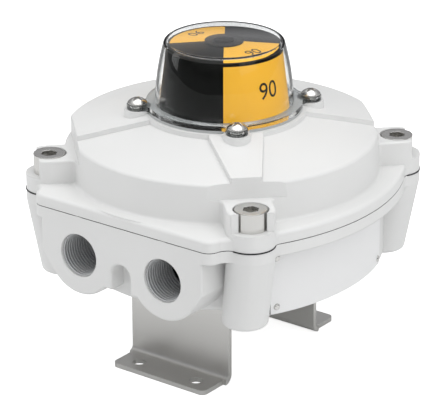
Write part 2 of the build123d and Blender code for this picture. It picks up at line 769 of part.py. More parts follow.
with BuildPart() as shaft:
    tube(level(tongue_tip), shaft_radius, 0, shaft_top - tongue_tip)
    tube(level(collar_bottom), collar_radius, 0, collar_height)
    with BuildSketch(level(collar_top)):
        Circle(serration_radius - serration_depth)
        with PolarLocations(serration_radius - serration_depth, serration_count):
            Rectangle(2 * serration_depth, serration_radius * math.pi / serration_count)
        Circle(serration_radius, mode=Mode.INTERSECT)
    extrude(amount=cam_ring_bottom - collar_top)
    with BuildSketch(level(tongue_tip)):
        Circle(2 * shaft_radius)
        Rectangle(tongue_thickness, 4 * shaft_radius, mode=Mode.SUBTRACT)
    extrude(amount=tongue_length, mode=Mode.SUBTRACT)
    shaft_groove(shaft_ring_bottom - seat_fit, shaft_ring_height + 2 * seat_fit,
                 shaft_radius - groove_depth - seat_fit)
    shaft_groove(cam_ring_bottom, cam_ring_height + seat_fit, shaft_radius - groove_depth - seat_fit)
    for height in (lower_seal_height, upper_seal_height):
        shaft_groove(height - seal_section / 2 - seal_pinch, seal_section + 2 * seal_pinch,
                     seal_bore - seal_pinch - seal_section - seat_fit)
    tube(level(shaft_top), indicator_screw_radius + seat_fit, 0, -indicator_screw_length, Mode.SUBTRACT)

with BuildPart() as shaft_ring:
    tube(level(shaft_ring_bottom), shaft_ring_radius, shaft_radius - groove_depth, shaft_ring_height)

with BuildPart() as cam_ring:
    tube(level(cam_ring_bottom), cam_ring_radius, shaft_radius - groove_depth, cam_ring_height)

with BuildPart() as lower_shaft_seal:
    seal_ring(lower_seal_height)

with BuildPart() as upper_shaft_seal:
    seal_ring(upper_seal_height)

with BuildPart() as lower_bush:
    tube(level(hub_top - lower_bush_length), bush_radius, 0, lower_bush_length)
    tube(level(hub_top), bush_flange_radius, 0, bush_flange_height)
    tube(level(hub_top - lower_bush_length), shaft_radius + run_fit, 0,
         lower_bush_length + bush_flange_height, Mode.SUBTRACT)

with BuildPart() as upper_bush:
    tube(level(upper_bush_bottom), bush_radius, 0, upper_bush_length)
    tube(level(upper_bush_bottom), bush_flange_radius, 0, -bush_flange_height)
    tube(level(upper_bush_bottom - bush_flange_height), shaft_radius + run_fit, 0,
         upper_bush_length + bush_flange_height, Mode.SUBTRACT)

with BuildPart() as thrust_washer:
    tube(level(bush_top), bush_flange_radius, shaft_radius + run_fit, thrust_washer_height)


# ---------------------------------------------------------------- cams and spring
def cam(bottom, rising):
    """Cam with a spiral track; the shaft closes clockwise, so the track runs the other way."""
    track = []
    for step in range(cam_track_steps + 1):
        angle = 90 - cam_overrun + step * (quadrant + 2 * cam_overrun) / cam_track_steps
        turned = math.radians(angle - 90) if rising else math.radians(180 - angle)
        radius = cam_low_radius + cam_rate * turned
        track.append((radius * math.cos(math.radians(angle)), radius * math.sin(math.radians(angle))))
    with BuildSketch(level(bottom)) as lobe:
        with BuildLine():
            Spline(*track)
            Line(track[0], (0, 0))
            Line(track[-1], (0, 0))
        make_face()
        Circle(cam_base_radius)
    extrude(lobe.sketch, amount=cam_height)
    tube(level(bottom + cam_height), cam_hub_radius, 0, cam_hub_height)
    tube(level(bottom), serration_radius + slide_fit, 0, cam_height + cam_hub_height, Mode.SUBTRACT)
    with BuildSketch(level(bottom + cam_height + cam_hub_height)) as knurl:
        with PolarLocations(cam_hub_radius, cam_knurl_count):
            Circle(cam_knurl_radius)
    extrude(knurl.sketch, amount=-cam_hub_height, mode=Mode.SUBTRACT)


with BuildPart() as lower_cam:
    cam(lower_cam_bottom, rising=True)

with BuildPart() as upper_cam:
    cam(upper_cam_bottom, rising=False)

with BuildPart() as cam_spring:
    spring_radius = cam_hub_radius + spring_wire / 2 + free_gap
    spring_height = cam_pitch - cam_height - spring_wire - 2 * seat_fit
    with BuildLine(level(lower_cam_bottom + cam_height + spring_wire / 2 + seat_fit)) as coil:
        Helix(spring_height / spring_turns, spring_height, spring_radius)
    with BuildSketch(Plane(origin=coil.line @ 0, z_dir=coil.line % 0)):
        Circle(spring_wire / 2)
    sweep(path=coil.line, is_frenet=True)


# ---------------------------------------------------------------- switches
def switch_holes():
    return [(switch_shift + side * switch_hole_spacing / 2, switch_distance + switch_hole_inset)
            for side in (-1, 1)]


def switch_case(bottom):
    """Snap-action switch with its plunger's bore, mounting holes and three terminals."""
    with BuildSketch(level(bottom)) as case:
        with Locations((switch_shift, switch_distance)):
            Rectangle(switch_length, switch_depth, align=(Align.CENTER, Align.MIN))
        with Locations(*switch_holes()):
            Circle(switch_hole_radius, mode=Mode.SUBTRACT)
    extrude(case.sketch, amount=switch_height)
    middle = bottom + switch_height / 2
    front = Plane(origin=(0, switch_distance, middle), z_dir=(0, 1, 0))
    tube(front, plunger_radius + slide_fit, 0, plunger_bore, Mode.SUBTRACT)
    back = Plane(origin=(switch_shift, switch_distance + switch_depth, middle),
                 x_dir=(1, 0, 0), z_dir=(0, 1, 0))
    with BuildSketch(back) as tags:
        with GridLocations(tag_pitch, 0, 3, 1):
            Rectangle(tag_thickness, tag_width)
    extrude(tags.sketch, amount=tag_length)


def plunger(height, tip):
    """Round button with a domed tip, its axis along Y."""
    with BuildSketch(Plane.YZ) as half:
        with BuildLine():
            Line((tip, height), (tip + plunger_length, height))
            Line((tip + plunger_length, height), (tip + plunger_length, height + plunger_radius))
            Line((tip + plunger_length, height + plunger_radius),
                 (tip + plunger_radius, height + plunger_radius))
            RadiusArc((tip + plunger_radius, height + plunger_radius), (tip, height), -plunger_radius)
        make_face()
    revolve(half.sketch, axis=Axis((0, 0, height), (0, 1, 0)))


with BuildPart() as lower_switch:
    switch_case(lower_switch_bottom)

with BuildPart() as upper_switch:
    switch_case(upper_switch_bottom)

with BuildPart() as lower_plunger:
    plunger(lower_switch_bottom + switch_height / 2, cam_low_radius + free_gap)

with BuildPart() as upper_plunger:
    plunger(upper_switch_bottom + switch_height / 2, cam_low_radius + stroke + free_gap)

with BuildPart() as switch_spacers:
    for x, y in switch_holes():
        tube(level(lower_switch_bottom + switch_height, x, y), spacer_radius, switch_hole_radius,
             cam_pitch - switch_height)

with BuildPart() as switch_screws:
    for x, y in switch_holes():
        cap_screw(level(upper_switch_bottom + switch_height, x, y), small_screw_radius, small_head_radius,
                  small_head_height, cam_pitch + switch_height + plate_thickness, small_hex)

with BuildPart() as switch_plate:
    with BuildSketch(level(plate_bottom)):
        with Locations((0, switch_distance)):
            Rectangle(plate_width, plate_back - switch_distance, align=(Align.CENTER, Align.MIN))
        with Locations(*switch_holes()):
            Circle(switch_hole_radius, mode=Mode.SUBTRACT)
        with Locations((-plate_screw_spacing / 2, plate_screw_y), (plate_screw_spacing / 2, plate_screw_y)):
            Circle(switch_hole_radius, mode=Mode.SUBTRACT)
    extrude(amount=plate_thickness)
    fillet(switch_plate.edges().filter_by(Axis.Z).group_by(Axis.Y)[-1], plate_thickness)

with BuildPart() as plate_screws:
    for x in (-plate_screw_spacing / 2, plate_screw_spacing / 2):
        cap_screw(level(plate_bottom + plate_thickness, x, plate_screw_y), small_screw_radius,
                  small_head_radius, small_head_height, plate_thickness + small_screw_bite, small_hex)

# ---------------------------------------------------------------- terminals and earth
terminal_spots = [((n - (terminal_count - 1) / 2) * terminal_pitch, -strip_distance)
                  for n in range(terminal_count)]
fixing_spots = [(-strip_fixing_spacing / 2, -strip_distance), (strip_fixing_spacing / 2, -strip_distance)]

with BuildPart() as terminal_strip:
    with BuildSketch(level(strip_bottom)):
        with Locations((0, -strip_distance)):
            Rectangle(strip_length, strip_depth)
    extrude(amount=strip_height - strip_step)
    with BuildSketch(level(strip_bottom + strip_height - strip_step)):
        with Locations((0, -strip_distance)):
            Rectangle(terminal_count * terminal_pitch - strip_gap, strip_depth - 2 * strip_step)
    extrude(amount=strip_step)
    for x, y in terminal_spots:
        tube(level(strip_bottom + strip_height, x, y), terminal_screw_radius + seat_fit, 0,
             -terminal_screw_length, Mode.SUBTRACT)
    with BuildSketch(Plane.XZ.offset(strip_distance + strip_depth / 2)):
        with Locations((0, strip_bottom + strip_foot + terminal_mouth)):
            with GridLocations(terminal_pitch, 0, terminal_count, 1):
                Rectangle(terminal_mouth, terminal_mouth)
    extrude(amount=-strip_depth / 3, mode=Mode.SUBTRACT)
    for x, y in fixing_spots:
        tube(level(strip_bottom, x, y), small_screw_radius + seat_fit, 0, strip_height, Mode.SUBTRACT)

with BuildPart() as terminal_screws:
    for x, y in terminal_spots:
        screw_top = level(strip_bottom + strip_height - strip_step / 2, x, y)
        tube(screw_top, terminal_screw_radius, 0, strip_step / 2 - terminal_screw_length)
        with BuildSketch(screw_top) as slot:
            Rectangle(2 * terminal_screw_radius, terminal_screw_radius / 3)
        extrude(slot.sketch, amount=-terminal_screw_radius / 2, mode=Mode.SUBTRACT)

with BuildPart() as terminal_fixings:
    for x, y in fixing_spots:
        cap_screw(level(strip_bottom + strip_height - strip_step, x, y), small_screw_radius,
                  small_head_radius, small_head_height,
                  strip_height - strip_step + small_screw_bite - thread_runout, small_hex)

earth_seat = floor_top + earth_boss_rise

with BuildPart() as earth_clamp:
    with BuildSketch(level(earth_seat, earth_x, earth_y)):
        RectangleRounded(2 * earth_boss_radius, 2 * earth_boss_radius, earth_clamp_sheet)
        Circle(earth_screw_radius + seat_fit, mode=Mode.SUBTRACT)
    extrude(amount=earth_clamp_sheet)

with BuildPart() as earth_screw:
    cap_screw(level(earth_seat + earth_clamp_sheet, earth_x, earth_y), earth_screw_radius,
              1.75 * earth_screw_radius, small_head_height,
              earth_clamp_sheet + earth_boss_rise - thread_runout, small_hex)

# ---------------------------------------------------------------- name plate
with BuildPart() as name_plate:
    with BuildSketch(level(name_plate_low)):
        with Locations((-pad_centre, 0)):
            Circle(pad_radius + seat_fit + plate_sheet)
            Circle(pad_radius + seat_fit, mode=Mode.SUBTRACT)
        with Locations((0, name_plate_front)):
            Rectangle(2 * pad_radius, name_plate_back - name_plate_front,
                      align=(Align.MIN, Align.MIN), mode=Mode.INTERSECT)
    extrude(amount=name_plate_high - name_plate_low)
    for spot in rivet_planes:
        tube(spot.offset(-plate_sheet), rivet_radius + seat_fit, 0, 3 * plate_sheet, Mode.SUBTRACT)

with BuildPart() as plate_rivets:
    for spot in rivet_planes:
        tube(spot.offset(plate_sheet), rivet_radius, 0, -plate_sheet - rivet_length)
        with BuildSketch(spot.offset(plate_sheet)) as head:
            Circle(rivet_head_radius)
        extrude(head.sketch, amount=rivet_head_height, taper=30)

# ---------------------------------------------------------------- bracket
with BuildPart() as bracket:
    leg = leg_span / 2
    outer_bend = bend_radius + sheet
    web_top = bracket_height
    with BuildSketch(Plane.YZ) as section:
        with BuildLine():
            FilletPolyline((0, web_top), (leg, web_top), (leg, sheet), (foot_span / 2, sheet),
                           (foot_span / 2, 0), (leg - sheet, 0), (leg - sheet, web_top - sheet),
                           (0, web_top - sheet),
                           radius=[0, outer_bend, bend_radius, 0, 0, outer_bend, bend_radius, 0], close=True)
        make_face()
        mirror(about=Plane.YZ)
    extrude(amount=bracket_width / 2, both=True)
    # feet narrower than the legs, with rounded corners
    with BuildSketch(level(0)):
        Rectangle(2 * bracket_width, 2 * foot_span)
        Rectangle(foot_width, foot_span, mode=Mode.SUBTRACT)
        Rectangle(2 * bracket_width, leg_span + 2 * bend_radius, mode=Mode.SUBTRACT)
    extrude(amount=sheet, mode=Mode.SUBTRACT)
    fillet(bracket.edges().filter_by(Axis.Z).filter_by(
        lambda edge: abs(edge.center().Y) > foot_span / 2 - sheet), foot_corner)
    with BuildSketch(level(0)):
        with GridLocations(foot_pitch_x, foot_pitch_y, 2, 2):
            Circle(foot_hole_radius)
    extrude(amount=sheet, mode=Mode.SUBTRACT)
    with BuildSketch(level(web_top)):
        Circle(hub_radius + bracket_hub_gap)
        with Locations(*bracket_screw_spots):
            Circle(bracket_screw_radius + bracket_hub_gap)
    extrude(amount=-sheet, mode=Mode.SUBTRACT)

with BuildPart() as bracket_washers:
    for x, y in bracket_screw_spots:
        tube(level(web_top - sheet, x, y), bracket_washer_radius, bracket_screw_radius + seat_fit,
             -bracket_washer_height)

with BuildPart() as bracket_screws:
    for x, y in bracket_screw_spots:
        under_head = Plane(origin=(x, y, web_top - sheet - bracket_washer_height), z_dir=(0, 0, -1))
        cap_screw(under_head, bracket_screw_radius, bracket_head_radius, bracket_head_height,
                  bracket_washer_height + sheet + bracket_screw_bite, bracket_hex)

# ---------------------------------------------------------------- one file for each piece
pieces = {
    "housing_base": housing_base, "housing_lid": housing_lid, "lid_seal": lid_seal,
    "lid_screws": lid_screws, "dome": dome, "dome_gasket": dome_gasket,
    "dome_washers": dome_washers, "dome_screws": dome_screws,
    "indicator_drum": indicator_drum, "indicator_side_panels": indicator_side_panels,
    "indicator_top_sectors": indicator_top_sectors, "indicator_screw": indicator_screw,
    "shaft": shaft, "shaft_ring": shaft_ring, "cam_ring": cam_ring,
    "lower_shaft_seal": lower_shaft_seal, "upper_shaft_seal": upper_shaft_seal,
    "lower_bush": lower_bush, "upper_bush": upper_bush, "thrust_washer": thrust_washer,
    "lower_cam": lower_cam, "upper_cam": upper_cam, "cam_spring": cam_spring,
    "lower_switch": lower_switch, "upper_switch": upper_switch,
    "lower_plunger": lower_plunger, "upper_plunger": upper_plunger,
    "switch_spacers": switch_spacers, "switch_screws": switch_screws,
    "switch_plate": switch_plate, "plate_screws": plate_screws,
    "terminal_strip": terminal_strip, "terminal_screws": terminal_screws,
    "terminal_fixings": terminal_fixings, "earth_clamp": earth_clamp, "earth_screw": earth_screw,
    "name_plate": name_plate, "plate_rivets": plate_rivets, "bracket": bracket,
    "bracket_washers": bracket_washers, "bracket_screws": bracket_screws,
}
for name, piece in pieces.items():
    piece.part.label = name
    export_step(piece.part, f"parts/{name}.step")
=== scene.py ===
# %% [markdown]
# # A valve limit switch box, dressed for its portrait
# The box stands on a valve actuator. Its shaft turns with the valve, and a drum under a clear
# dome shows how far. The solids come ready made from the frame. Here they get their finishes,
# and the few small things that are only looked at: the threads in the cable entries, the dark
# line of the seam and the numerals on the drum.

# %% Load the frame
import json
import math
import bpy
from mathutils import Matrix, Vector


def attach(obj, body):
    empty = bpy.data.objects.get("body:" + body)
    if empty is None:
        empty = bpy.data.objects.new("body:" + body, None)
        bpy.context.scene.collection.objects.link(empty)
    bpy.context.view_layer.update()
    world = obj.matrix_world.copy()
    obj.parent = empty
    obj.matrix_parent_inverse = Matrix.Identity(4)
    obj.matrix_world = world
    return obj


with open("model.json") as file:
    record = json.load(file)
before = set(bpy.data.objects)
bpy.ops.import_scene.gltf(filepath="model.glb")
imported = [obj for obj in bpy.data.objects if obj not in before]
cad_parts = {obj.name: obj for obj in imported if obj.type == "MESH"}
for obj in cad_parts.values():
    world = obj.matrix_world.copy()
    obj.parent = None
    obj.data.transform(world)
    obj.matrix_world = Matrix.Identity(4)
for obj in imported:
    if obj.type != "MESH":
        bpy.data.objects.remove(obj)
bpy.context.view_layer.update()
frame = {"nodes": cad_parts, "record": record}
MM = 0.001
bodies = frame["record"]["behaviour"]["bodies"]
print("bodies:", {name: len(nodes) for name, nodes in bodies.items()})

# %% [markdown]
# The camera stands at a little over a metre with a long lens, as for a catalogue page: the
# sides of the box then run nearly parallel. It looks from the front right, a little from above.
# Its three axes are worked out from two angles and a small roll, and set as a matrix, because
# that keeps the aim on one named point when an angle is changed.

# %% Camera
AZIMUTH = math.radians(37.05)
ELEVATION = math.radians(22.17)
ROLL = math.radians(-0.22)
DISTANCE = 1.1
SENSOR_WIDTH, LENS = 36, 212.9     # in mm, as on a real camera
TARGET = Vector((-1.44, 0.0, 62.2)) * MM

back = Vector((math.sin(AZIMUTH) * math.cos(ELEVATION),
               -math.cos(AZIMUTH) * math.cos(ELEVATION), math.sin(ELEVATION)))
level_right = Vector((math.cos(AZIMUTH), math.sin(AZIMUTH), 0))
level_up = back.cross(level_right)
right = math.cos(ROLL) * level_right + math.sin(ROLL) * level_up
up = math.cos(ROLL) * level_up - math.sin(ROLL) * level_right

bpy.ops.object.select_all(action="DESELECT")
bpy.ops.object.camera_add()
camera = bpy.context.object
camera.name = "camera"
camera.data.sensor_width = SENSOR_WIDTH
camera.data.lens = LENS
turn = Matrix((right, up, back)).transposed().to_4x4()
camera.matrix_world = Matrix.Translation(TARGET + back * DISTANCE) @ turn
bpy.context.scene.camera = camera
print("camera at", [round(value, 3) for value in camera.matrix_world.translation])

# %% [markdown]
# Two small tools serve all that follows. Colours are written as sRGB hex values, as a paint
# card gives them, and shaders count in linear light, so one function turns the one into the
# other. The other adds a node, sets its sockets and links it, so that each material reads as
# a short list.

# %% Colour and nodes
def linear(hex_colour, alpha=1.0):
    """An sRGB hex value as the linear colour that the shaders want."""
    values = [int(hex_colour[i:i + 2], 16) / 255 for i in (1, 3, 5)]
    return [v / 12.92 if v <= 0.04045 else ((v + 0.055) / 1.055) ** 2.4 for v in values] + [alpha]


def add_node(tree, kind, inputs=None, links=None, **settings):
    """Adds a node, sets its properties and sockets, and links sockets to other nodes' outputs."""
    node = tree.nodes.new(kind)
    for name, value in settings.items():
        setattr(node, name, value)
    for name, value in (inputs or {}).items():
        node.inputs[name].default_value = value
    for name, output in (links or {}).items():
        tree.links.new(output, node.inputs[name])
    return node


print("white is", linear("#FFFFFF"), "and middle grey", round(linear("#808080")[0], 3))

# %% [markdown]
# A studio shows a product on bright paper, while its mirrors see the room: dark at eye level,
# bright overhead. One world does both. Rays that have bounced off a matt face gather the plain
# studio light, rays that have bounced off a shiny one see the room, and the rest see paper.

# %% World
ONCE = 0.5     # a count of bounces above this is one or more

scene = bpy.context.scene
scene.view_settings.view_transform = "Standard"

world = bpy.data.worlds.new("studio")
scene.world = world
world.use_nodes = True
sky = world.node_tree
sky.nodes.clear()
ray = add_node(sky, "ShaderNodeLightPath")
diffused = add_node(sky, "ShaderNodeMath", {1: ONCE}, {0: ray.outputs["Diffuse Depth"]},
                    operation="GREATER_THAN")
mirrored = add_node(sky, "ShaderNodeMath", {1: ONCE}, {0: ray.outputs["Glossy Depth"]},
                    operation="GREATER_THAN")
studio = add_node(sky, "ShaderNodeBackground", {"Color": linear("#F7F8F9"), "Strength": 0.66})
paper = add_node(sky, "ShaderNodeBackground", {"Color": linear("#FFFFFF"), "Strength": 1.0})
# the ramp runs from the horizon (0) to straight overhead (1)
direction = add_node(sky, "ShaderNodeTexCoord")
height = add_node(sky, "ShaderNodeSeparateXYZ", {}, {0: direction.outputs["Generated"]})
room_shades = add_node(sky, "ShaderNodeValToRGB", {}, {0: height.outputs["Z"]})
stops = room_shades.color_ramp.elements
stops[0].position, stops[0].color = 0.0, linear("#6A6A6C")
stops[1].position, stops[1].color = 0.8, linear("#F0F0F2")
for position, shade in ((0.16, "#2C2C2E"), (0.30, "#C4C4C6"), (0.48, "#8C8C8E")):
    stops.new(position).color = linear(shade)
room = add_node(sky, "ShaderNodeBackground", {"Strength": 0.9}, {"Color": room_shades.outputs[0]})
# a Mix Shader takes its factor in socket 0, and shows 1 where that is 0 and 2 where it is 1
clear_view = add_node(sky, "ShaderNodeMixShader", {}, {0: mirrored.outputs[0],
                      1: paper.outputs[0], 2: room.outputs[0]})
both = add_node(sky, "ShaderNodeMixShader", {}, {0: diffused.outputs[0], 1: clear_view.outputs[0],
                2: studio.outputs[0]})
add_node(sky, "ShaderNodeOutputWorld", {}, {"Surface": both.outputs[0]})
print("shades of the room:", [round(stop.position, 2) for stop in stops])

# %% [markdown]
# Large soft lamps give the white casting its gentle shading. The one overhead is also seen in
# the dome and the screw heads, as a studio's would be. Those at the sides only light, because
# their reflections would cross the dome and hide the drum.

# %% Lamps
def panel_light(name, place, size, watts, mirrored=True):
    """A soft rectangular lamp that faces the box, and that shiny things mirror or not."""
    bpy.ops.object.light_add(type="AREA", location=place)
    lamp = bpy.context.object
    lamp.name = name
    lamp.data.shape = "RECTANGLE"
    lamp.data.size, lamp.data.size_y = size
    lamp.data.energy = watts
    lamp.rotation_euler = (Vector(place) - TARGET).to_track_quat("Z", "Y").to_euler()
    lamp.visible_glossy = mirrored
    return lamp


lamps = [panel_light("top_panel", (0.10, -0.05, 0.85), (0.9, 0.9), 3.2),
         panel_light("left_panel", (-0.75, -0.35, 0.45), (0.35, 0.7), 1.5, mirrored=False),
         panel_light("right_panel", (0.70, -0.10, 0.50), (0.5, 0.6), 1.1, mirrored=False)]
print("lamps:", {lamp.name: round(lamp.data.energy, 2) for lamp in lamps})

# %% [markdown]
# The floor is a sheet of white paper, large enough that its edge never shows. It takes the
# shadow of the box as paper would, and a little light of its own lifts it to white for the
# eye. Bounced rays see it without that light, so it doesn't flood the box from below.

# %% Floor
FLOOR_SIZE = 3.0

bpy.ops.mesh.primitive_plane_add(size=FLOOR_SIZE, location=(0, 0, 0))
floor = bpy.context.object
floor.name = "floor"
paper_floor = bpy.data.materials.new("white_paper")
paper_floor.use_nodes = True
tree = paper_floor.node_tree
tree.nodes.clear()
ray = add_node(tree, "ShaderNodeLightPath")
bounces = add_node(tree, "ShaderNodeMath", {}, {0: ray.outputs["Diffuse Depth"],
                   1: ray.outputs["Glossy Depth"]}, operation="ADD")
bounced = add_node(tree, "ShaderNodeMath", {1: ONCE}, {0: bounces.outputs[0]},
                   operation="GREATER_THAN")
diffuse = add_node(tree, "ShaderNodeBsdfDiffuse", {"Color": linear("#E8E8E8")})
lit = add_node(tree, "ShaderNodeEmission", {"Color": linear("#FFFFFF"), "Strength": 0.74})
seen = add_node(tree, "ShaderNodeAddShader", {}, {0: diffuse.outputs[0], 1: lit.outputs[0]})
# what shines inside the dome mirrors a dark table, so that the black drum stays black
depths = add_node(tree, "ShaderNodeMath", {}, {0: ray.outputs["Transmission Depth"],
                  1: ray.outputs["Glossy Depth"]}, operation="MULTIPLY")
inside = add_node(tree, "ShaderNodeMath", {1: ONCE}, {0: depths.outputs[0]},
                  operation="GREATER_THAN")
table = add_node(tree, "ShaderNodeBsdfDiffuse", {"Color": linear("#3A3A3A")})
below = add_node(tree, "ShaderNodeMixShader", {}, {0: inside.outputs[0], 1: diffuse.outputs[0],
                 2: table.outputs[0]})
mixed = add_node(tree, "ShaderNodeMixShader", {}, {0: bounced.outputs[0], 1: seen.outputs[0],
                 2: below.outputs[0]})
# from below, the floor lets the underside of the box show
side = add_node(tree, "ShaderNodeNewGeometry")
gone = add_node(tree, "ShaderNodeBsdfTransparent")
one_way = add_node(tree, "ShaderNodeMixShader", {}, {0: side.outputs["Backfacing"],
                   1: mixed.outputs[0], 2: gone.outputs[0]})
add_node(tree, "ShaderNodeOutputMaterial", {}, {"Surface": one_way.outputs[0]})
floor.data.materials.append(paper_floor)
print("floor:", [round(value, 2) for value in floor.dimensions])

# %% [markdown]
# Every finish here is one Principled shader and some noise. The noise is given by the real
# size of its lumps, and lies on Object coordinates, so it stays in place on the piece when the
# piece moves. It raises the surface, and spreads a number or a colour a little, as nothing
# real is even.

# %% A plain material
def new_material(name, hex_colour, roughness, **sockets):
    """A Principled material and its parts: (material, tree, shader)."""
    material = bpy.data.materials.new(name)
    material.use_nodes = True
    tree = material.node_tree
    tree.nodes.clear()
    shader = add_node(tree, "ShaderNodeBsdfPrincipled",
                      {"Base Color": linear(hex_colour), "Roughness": roughness, **sockets})
    add_node(tree, "ShaderNodeOutputMaterial", {}, {"Surface": shader.outputs[0]})
    return material, tree, shader


# %% [markdown]
# The housing is die-cast aluminium under a white powder coat. The powder melts into a skin of
# even colour that is satin rather than glossy, with a faint orange peel about two millimetres
# across and a finer grain inside it. The skin also flows round sharp edges, and a Bevel node
# shades them so: the solids keep their plain edges, and the eye sees soft ones.

# %% White powder coat
PEEL, GRAIN, DUST = 2.0, 0.5, 40.0     # sizes of the lumps in mm
GRAIN_SHARE = 0.3                      # height of the grain, next to that of the peel
PEEL_DEPTH, SOFT_EDGE = 0.02, 0.6      # in mm
DETAIL = 2.0                           # each noise has two finer layers inside it

powder_coat, tree, shader = new_material("white_powder_coat", "#E2E2E1", 0.42)
place = add_node(tree, "ShaderNodeTexCoord")
peel, grain, dust = [add_node(tree, "ShaderNodeTexNoise",
                              {"Scale": 1 / (size * MM), "Detail": DETAIL},
                              {"Vector": place.outputs["Object"]}) for size in (PEEL, GRAIN, DUST)]
lumps = add_node(tree, "ShaderNodeMath", {1: GRAIN_SHARE},
                 {0: grain.outputs[0], 2: peel.outputs[0]}, operation="MULTIPLY_ADD")
rounded = add_node(tree, "ShaderNodeBevel", {"Radius": SOFT_EDGE * MM}, samples=6)
skin = add_node(tree, "ShaderNodeBump", {"Strength": 0.5, "Distance": PEEL_DEPTH * MM},
                {"Height": lumps.outputs[0], "Normal": rounded.outputs[0]})
tree.links.new(skin.outputs[0], shader.inputs["Normal"])
# dust clouds the white by a shade or two, which keeps large faces from looking like paper
white = add_node(tree, "ShaderNodeMix", {}, {"Factor": dust.outputs[0]}, data_type="RGBA")
white.inputs[6].default_value = linear("#DEDEDD")
white.inputs[7].default_value = linear("#E6E6E5")
tree.links.new(white.outputs[2], shader.inputs["Base Color"])
satin = add_node(tree, "ShaderNodeMapRange", {"To Min": 0.36, "To Max": 0.50},
                 {"Value": peel.outputs[0]})
tree.links.new(satin.outputs[0], shader.inputs["Roughness"])
print("coat:", len(tree.nodes), "nodes")

# %% [markdown]
# The metals differ by how they were made. Screws are turned and tumbled bright, so their bump
# is tiny, and a Bevel node gives their sharp rims the small chamfer that catches the light.
# The bracket is rolled sheet with its grain along the length. Brass and bronze are inside.
# One function makes them all: a grain raises the surface, and the polish follows it.

# %% Metals
def grained(name, hex_colour, roughness, spread, grain_mm, depth_mm, strength, rim_mm=None,
            stretch=(1, 1, 1), **sockets):
    """A material with a fine grain, whose sharp edges may be shaded as if rounded by rim_mm."""
    material, tree, shader = new_material(name, hex_colour, roughness, **sockets)
    place = add_node(tree, "ShaderNodeTexCoord")
    mapping = add_node(tree, "ShaderNodeMapping", {"Scale": stretch},
                       {"Vector": place.outputs["Object"]})
    grain = add_node(tree, "ShaderNodeTexNoise", {"Scale": 1 / (grain_mm * MM), "Detail": DETAIL},
                     {"Vector": mapping.outputs[0]})
    bump = add_node(tree, "ShaderNodeBump", {"Strength": strength, "Distance": depth_mm * MM},
                    {"Height": grain.outputs[0]})
    tree.links.new(bump.outputs[0], shader.inputs["Normal"])
    if rim_mm:
        rim = add_node(tree, "ShaderNodeBevel", {"Radius": rim_mm * MM}, samples=6)
        tree.links.new(rim.outputs[0], bump.inputs["Normal"])
    polish = add_node(tree, "ShaderNodeMapRange",
                      {"To Min": roughness - spread, "To Max": roughness + spread},
                      {"Value": grain.outputs[0]})
    tree.links.new(polish.outputs[0], shader.inputs["Roughness"])
    return material


BARE = dict(spread=0.06, strength=0.4, Metallic=1.0)

# turned stainless steel: bright, with soft but clear reflections
stainless = grained("turned_stainless", "#DEDDDA", 0.20, grain_mm=1.5, depth_mm=0.002,
                    rim_mm=0.5, **BARE)
# rolled stainless sheet: dull silver, its grain drawn out along X
sheet_steel = grained("rolled_stainless_sheet", "#DAD9D6", 0.34, grain_mm=0.8, depth_mm=0.006,
                      rim_mm=0.4, stretch=(0.08, 1, 1), **BARE)
# zinc-plated or ground steel: a greyer shine
bright_steel = grained("bright_steel", "#B8B8B6", 0.30, grain_mm=0.5, depth_mm=0.006,
                       rim_mm=0.2, **BARE)
# turned brass: warm and bright
brass = grained("turned_brass", "#C9A24A", 0.30, grain_mm=0.5, depth_mm=0.006, rim_mm=0.2, **BARE)
# sintered bronze: porous and oily, so darker and duller than brass
bronze = grained("sintered_bronze", "#9C7440", 0.45, grain_mm=0.3, depth_mm=0.010, rim_mm=0.2,
                 **BARE)
print("metals:", [item.name for item in (stainless, sheet_steel, bright_steel, brass, bronze)])

# %% [markdown]
# Plastic and rubber parts come out of a mould that was spark eroded, and carry its fine grain.
# The drum is black ABS with panels of a strong yellow. The yellow also glows a little in its
# own colour: painted light, which makes the panels brighter than the lamps light them.

# %% Plastics and rubber
YELLOW = "#F2B52E"
MOULDED = dict(spread=0.04, strength=0.3, depth_mm=0.004, grain_mm=0.6)
# painted light: an emission that brightens the yellow panels beyond the lamps' light
PAINTED_GLOW = {"Emission Color": linear(YELLOW), "Emission Strength": 0.24}

# ABS: satin; the black one hardly mirrors, so it stays deep behind the dome
black_abs = grained("black_abs", "#0B0C0A", 0.30, **MOULDED, **{"Specular IOR Level": 0.14})
yellow_abs = grained("yellow_abs", YELLOW, 0.40, **MOULDED, **PAINTED_GLOW)
# rubbers: matt, one for the seals and a pale one for the gasket under the dome
rubber = grained("black_nitrile_rubber", "#17181A", 0.60, **MOULDED)
silicone = grained("grey_silicone_rubber", "#B4B6B6", 0.50, **MOULDED)
# the plastics inside: hard and dull for the switches, waxy for cams and washer
switch_case = grained("black_thermoset", "#222325", 0.50, **MOULDED)
cam_red = grained("red_acetal", "#B02A22", 0.38, **MOULDED)
cam_green = grained("green_acetal", "#2C7A3E", 0.38, **MOULDED)
natural_acetal = grained("natural_acetal", "#E8E4D8", 0.40, **MOULDED)
terminal_grey = grained("teal_grey_polyamide", "#3A4A4A", 0.50, **MOULDED)
# baked enamel on the name plate: smoother than the coat; its cut edge is bare, and the edge's dark
# grey also paints the shadow along the plate's edges
plate_white = grained("white_plate_enamel", "#ECECEC", 0.32, **{**MOULDED, "grain_mm": 3.0})
plate_edge_shadow = grained("bare_edge_and_painted_shadow", "#4A4A4A", 0.45, **MOULDED)
print("black:", black_abs.name, "yellow:", yellow_abs.name, "gasket:", silicone.name)

# %% [markdown]
# The dome is moulded in clear polycarbonate. Its thin wall hardly bends the view and mirrors
# at the rims, so it gets a refracting shader. The index is well under the plastic's 1.58,
# because at that the wall would veil the black drum with reflections. A refracting wall
# also casts a dark shadow, so shadow rays pass straight through it.

